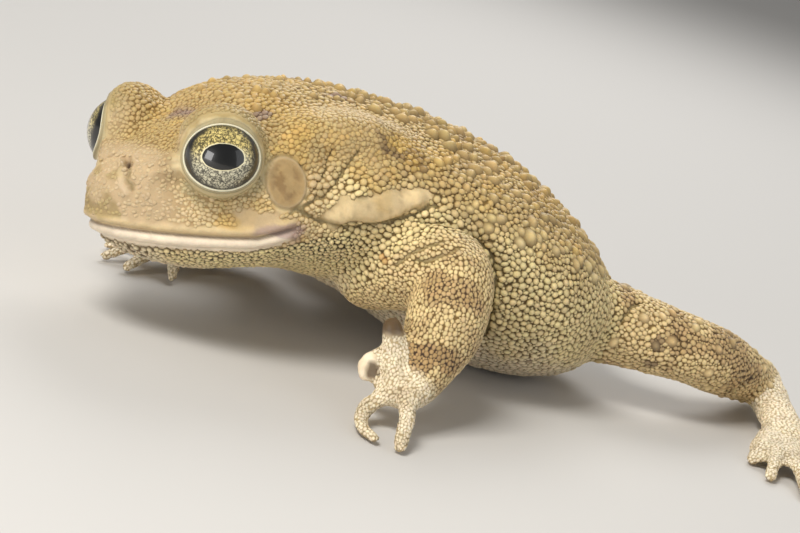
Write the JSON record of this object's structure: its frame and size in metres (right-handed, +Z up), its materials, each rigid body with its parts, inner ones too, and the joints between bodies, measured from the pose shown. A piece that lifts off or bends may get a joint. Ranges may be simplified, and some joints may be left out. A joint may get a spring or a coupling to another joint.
{
  "type": "african common toad",
  "caption": "Life-size warty tan toad with large gold eyes, head turned a little to its left, one hind leg stretched back, resting on its belly and feet.",
  "frame": {"origin": "middle of the bounding box, on the floor", "axes": "+Z up, -Y the way the toad faces, +X towards its left side"},
  "size_m": [0.1143, 0.1347, 0.0388],
  "materials": {
    "skin": "matt, granular",
    "pale_skin": "matt, finely granular",
    "eye": "wet gloss",
    "eardrum": "smooth, satin"
  },
  "bodies": {
    "root": {"head": "skin", "lower_jaw": "skin", "trunk": "skin", "upper_arm_left": "skin", "forearm_left": "skin", "thigh_left": "skin", "shank_left": "skin", "tarsus_left": "skin", "upper_arm_right": "skin", "forearm_right": "skin", "thigh_right": "skin", "shank_right": "skin", "tarsus_right": "skin", "hand_left": "pale_skin", "foot_left": "pale_skin", "hand_right": "pale_skin", "foot_right": "pale_skin", "eye_left": "eye", "eye_right": "eye", "eardrum_left": "eardrum", "eardrum_right": "eardrum"}
  },
  "joints": []
}
